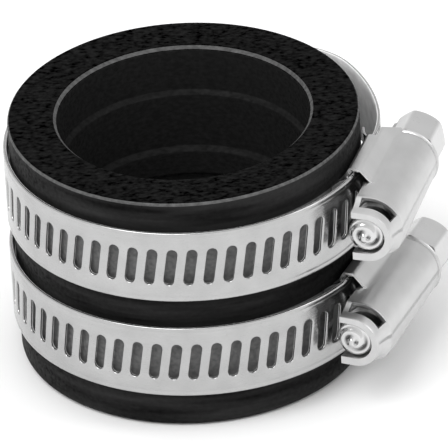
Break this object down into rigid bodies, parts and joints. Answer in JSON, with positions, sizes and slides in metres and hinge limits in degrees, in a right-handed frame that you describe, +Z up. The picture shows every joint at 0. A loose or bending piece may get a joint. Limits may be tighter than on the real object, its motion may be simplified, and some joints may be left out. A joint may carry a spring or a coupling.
{
  "type": "pipe coupling",
  "caption": "Flexible rubber sleeve that joins two waste pipes end to end, gripped by stainless perforated-band worm-drive clamps.",
  "frame": {"origin": "centre of the sleeve's bottom face, on the bore's axis", "axes": "+Z up the bore, +X towards the side that the clamps' screws are on, +Y away from the screws' tips"},
  "size_m": [0.0719, 0.06, 0.042],
  "materials": {
    "black_rubber": "matt moulded rubber, finely grained",
    "band_steel": "bright rolled stainless strip",
    "housing_steel": "satin pressed stainless sheet",
    "screw_steel": "satin zinc-plated steel, bright at the tip"
  },
  "bodies": {
    "sleeve": {"rubber_sleeve": "black_rubber"},
    "upper_clamp": {"upper_band": "band_steel", "upper_saddle": "band_steel", "upper_housing": "housing_steel"},
    "upper_screw": {"upper_worm_screw": "screw_steel"},
    "lower_clamp": {"lower_band": "band_steel", "lower_saddle": "band_steel", "lower_housing": "housing_steel"},
    "lower_screw": {"lower_worm_screw": "screw_steel"}
  },
  "joints": [
    {"name": "upper_clamp_turn", "type": "hinge", "parent": "sleeve", "child": "upper_clamp", "pos_m": [0, 0, 0.03115], "axis": [0, 0, 1], "continuous": true},
    {"name": "upper_screw_turn", "type": "hinge", "parent": "upper_clamp", "child": "upper_screw", "pos_m": [0.03215, -0.01076, 0.03115], "axis": [-0.3173, -0.9483, 0], "range_deg": [-720, 1080], "deforming": ["upper_band"]},
    {"name": "lower_clamp_turn", "type": "hinge", "parent": "sleeve", "child": "lower_clamp", "pos_m": [0, 0, 0.01345], "axis": [0, 0, 1], "continuous": true},
    {"name": "lower_screw_turn", "type": "hinge", "parent": "lower_clamp", "child": "lower_screw", "pos_m": [0.03077, -0.01422, 0.01345], "axis": [-0.4195, -0.9078, 0], "range_deg": [-720, 1080], "deforming": ["lower_band"]}
  ]
}
